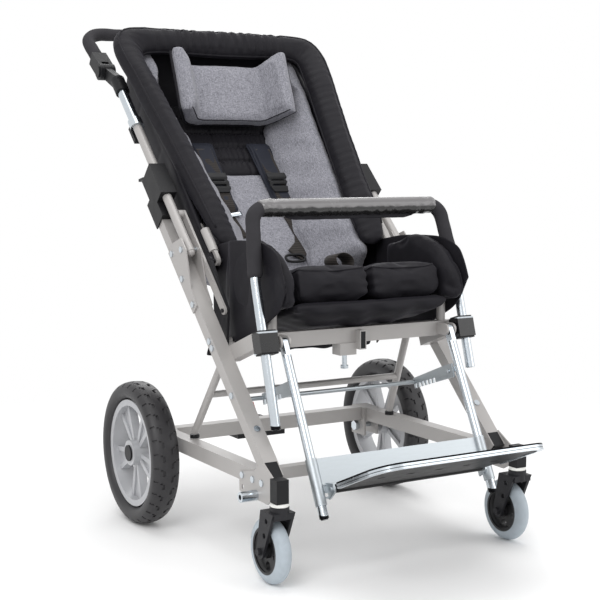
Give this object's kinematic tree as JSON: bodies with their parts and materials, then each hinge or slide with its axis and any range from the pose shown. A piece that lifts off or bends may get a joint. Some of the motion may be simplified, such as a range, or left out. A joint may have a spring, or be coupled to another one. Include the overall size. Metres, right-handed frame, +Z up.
{
  "type": "special needs buggy",
  "caption": "Folding pushchair for a disabled child: steel frame, reclined padded seat with headrest and harness, grab bar, legrest with footplate, tilting push handle and swivel casters.",
  "frame": {"origin": "on the ground under the middle of the overall length and width", "axes": "+Z up, -Y the way the buggy is pushed, +X to the left hand of the child, who faces -Y"},
  "size_m": [0.696, 1.2092, 1.1004],
  "materials": {
    "frame_paint": "satin grey lacquer",
    "chrome": "bright chrome plating",
    "black_plastic": "moulded, fine texture",
    "black_steel": "black lacquer",
    "white_plastic": "smooth",
    "caster_rubber": "solid pale tyre on a black hub",
    "tyre_rubber": "moulded tread",
    "rim_plastic": "silver grey moulding",
    "black_fabric": "woven, quilted",
    "melange_fabric": "speckled grey mesh",
    "black_foam": "closed-cell foam grip",
    "grey_vinyl": "glossy coated cloth",
    "red_plastic": "moulded",
    "black_rubber": "ribbed mat",
    "webbing": "woven strap with plastic buckles"
  },
  "bodies": {
    "chassis": {"base_rails": "frame_paint", "base_cross_tubes": "frame_paint", "diagonals": "frame_paint", "frame_plugs": "black_plastic", "frame_plates": "frame_paint", "tie_down_sleeves": "chrome", "stem_housings": "black_plastic", "stem_washers": "white_plastic", "rear_axles": "chrome", "strut_frame": "frame_paint", "hinge_brackets": "black_steel", "fold_plates": "frame_paint", "frame_fasteners": "chrome", "seat_frame": "frame_paint", "grab_clamps": "chrome", "clamp_inserts": "black_plastic", "brake_housing": "black_plastic", "seat_cushion": "black_fabric", "seat_cover": "black_fabric", "seat_wings": "black_fabric"},
    "rear_wheel_left": {"rear_tyre_left": "tyre_rubber", "rear_rim_left": "rim_plastic", "hub_cap_left": "black_plastic"},
    "rear_wheel_right": {"rear_tyre_right": "tyre_rubber", "rear_rim_right": "rim_plastic", "hub_cap_right": "black_plastic"},
    "caster_left": {"caster_fork_left": "black_plastic"},
    "caster_right": {"caster_fork_right": "black_plastic"},
    "caster_roller_left": {"caster_wheel_left": "caster_rubber"},
    "caster_roller_right": {"caster_wheel_right": "caster_rubber"},
    "brake": {"brake_pedal": "red_plastic"},
    "legrest": {"legrest_tubes": "chrome"},
    "rack": {"toothed_plates": "chrome"},
    "foot_carrier": {"foot_carrier": "chrome"},
    "footplate": {"footplate_tray": "black_plastic", "footplate_rim": "chrome", "footplate_mat": "black_rubber"},
    "grab": {"grab_bar": "chrome", "grab_foam": "black_foam", "grab_pad": "grey_vinyl"},
    "handle_frame": {"handle_tubes": "frame_paint", "lock_sleeves": "black_plastic"},
    "latch_left": {"latch_lever_left": "black_plastic"},
    "latch_right": {"latch_lever_right": "black_plastic"},
    "handle_slide": {"telescopic_tubes": "chrome", "lower_knuckles": "black_plastic"},
    "clamp_left": {"clamp_lever_left": "black_plastic"},
    "clamp_right": {"clamp_lever_right": "black_plastic"},
    "push_handle": {"push_bar": "frame_paint", "push_foam": "black_foam", "upper_knuckles": "black_plastic"},
    "link_left": {"link_bar_left": "frame_paint"},
    "link_right": {"link_bar_right": "frame_paint"},
    "backrest": {"back_frame": "frame_paint", "back_shell": "black_fabric", "back_bolster": "black_fabric", "back_pad": "black_fabric", "side_pads": "melange_fabric", "harness": "webbing"},
    "headrest": {"headrest": "melange_fabric"}
  },
  "joints": [
    {"name": "rear_left_roll", "type": "hinge", "parent": "chassis", "child": "rear_wheel_left", "pos_m": [-0.318, 0.13953, 0.1525], "axis": [1, 0, 0], "continuous": true},
    {"name": "caster_left_swivel", "type": "hinge", "parent": "chassis", "child": "caster_left", "pos_m": [-0.276, -0.40147, 0.17], "axis": [0, 0, 1], "continuous": true},
    {"name": "caster_left_roll", "type": "hinge", "parent": "caster_left", "child": "caster_roller_left", "pos_m": [-0.276, -0.36847, 0.0625], "axis": [1, 0, 0], "continuous": true},
    {"name": "rear_right_roll", "type": "hinge", "parent": "chassis", "child": "rear_wheel_right", "pos_m": [0.318, 0.13953, 0.1525], "axis": [1, 0, 0], "continuous": true},
    {"name": "caster_right_swivel", "type": "hinge", "parent": "chassis", "child": "caster_right", "pos_m": [0.276, -0.40147, 0.17], "axis": [0, 0, 1], "continuous": true},
    {"name": "caster_right_roll", "type": "hinge", "parent": "caster_right", "child": "caster_roller_right", "pos_m": [0.276, -0.36847, 0.0625], "axis": [1, 0, 0], "continuous": true},
    {"name": "brake_press", "type": "hinge", "parent": "chassis", "child": "brake", "pos_m": [-0.027, 0.16553, 0.19], "axis": [-1, 0, 0], "range_deg": [0, 25]},
    {"name": "legrest_swing", "type": "hinge", "parent": "chassis", "child": "legrest", "pos_m": [0, -0.27447, 0.43], "axis": [-1, 0, 0], "range_deg": [-5, 30]},
    {"name": "rack_swing", "type": "hinge", "parent": "legrest", "child": "rack", "pos_m": [0, -0.29332, 0.34573], "axis": [-1, 0, 0], "range_deg": [-28, 5]},
    {"name": "foot_height", "type": "slide", "parent": "legrest", "child": "foot_carrier", "axis": [0, 0.4384, 0.8988], "range_m": [-0.02, 0.08]},
    {"name": "footplate_flip", "type": "hinge", "parent": "foot_carrier", "child": "footplate", "pos_m": [0, -0.41819, 0.17411], "axis": [-1, 0, 0], "range_deg": [0, 85]},
    {"name": "grab_height", "type": "slide", "parent": "chassis", "child": "grab", "axis": [0, 0.2756, 0.9613], "range_m": [-0.02, 0.05]},
    {"name": "handle_fold", "type": "hinge", "parent": "chassis", "child": "handle_frame", "pos_m": [0, 0.00131, 0.59474], "axis": [1, 0, 0], "range_deg": [0, 60]},
    {"name": "back_fold", "type": "hinge", "parent": "chassis", "child": "backrest", "pos_m": [0, -0.03847, 0.572], "axis": [1, 0, 0], "range_deg": [0, 60]},
    {"name": "link_left_swing", "type": "hinge", "parent": "chassis", "child": "link_left", "pos_m": [-0.2387, -0.11247, 0.478], "axis": [1, 0, 0], "range_deg": [0, 23]},
    {"name": "latch_left_lift", "type": "hinge", "parent": "handle_frame", "child": "latch_left", "pos_m": [-0.26, 0.16666, 0.6947], "axis": [-1, 0, 0], "range_deg": [0, 20], "stiffness_Nm_per_rad": 0.4},
    {"name": "link_right_swing", "type": "hinge", "parent": "chassis", "child": "link_right", "pos_m": [0.2387, -0.11247, 0.478], "axis": [1, 0, 0], "range_deg": [0, 23]},
    {"name": "latch_right_lift", "type": "hinge", "parent": "handle_frame", "child": "latch_right", "pos_m": [0.26, 0.16666, 0.6947], "axis": [-1, 0, 0], "range_deg": [0, 20], "stiffness_Nm_per_rad": 0.4},
    {"name": "handle_height", "type": "slide", "parent": "handle_frame", "child": "handle_slide", "axis": [0, 0.7133, 0.7009], "range_m": [0, 0.08]},
    {"name": "clamp_left_open", "type": "hinge", "parent": "handle_slide", "child": "clamp_left", "pos_m": [-0.26, 0.29142, 0.85024], "axis": [1, 0, 0], "range_deg": [0, 90]},
    {"name": "clamp_right_open", "type": "hinge", "parent": "handle_slide", "child": "clamp_right", "pos_m": [0.26, 0.29142, 0.85024], "axis": [1, 0, 0], "range_deg": [0, 90]},
    {"name": "push_angle", "type": "hinge", "parent": "handle_slide", "child": "push_handle", "pos_m": [0, 0.44383, 0.98334], "axis": [1, 0, 0], "range_deg": [-60, 45]},
    {"name": "headrest_height", "type": "slide", "parent": "backrest", "child": "headrest", "axis": [0, 0.682, 0.7314], "range_m": [-0.02, 0.008]}
  ],
  "couplings": [
    {"joint": "back_fold", "follows": "handle_fold", "ratio": 1},
    {"joint": "link_left_swing", "follows": "handle_fold", "ratio": 0.368},
    {"joint": "link_right_swing", "follows": "handle_fold", "ratio": 0.368},
    {"joint": "rack_swing", "follows": "legrest_swing", "ratio": -0.92}
  ]
}
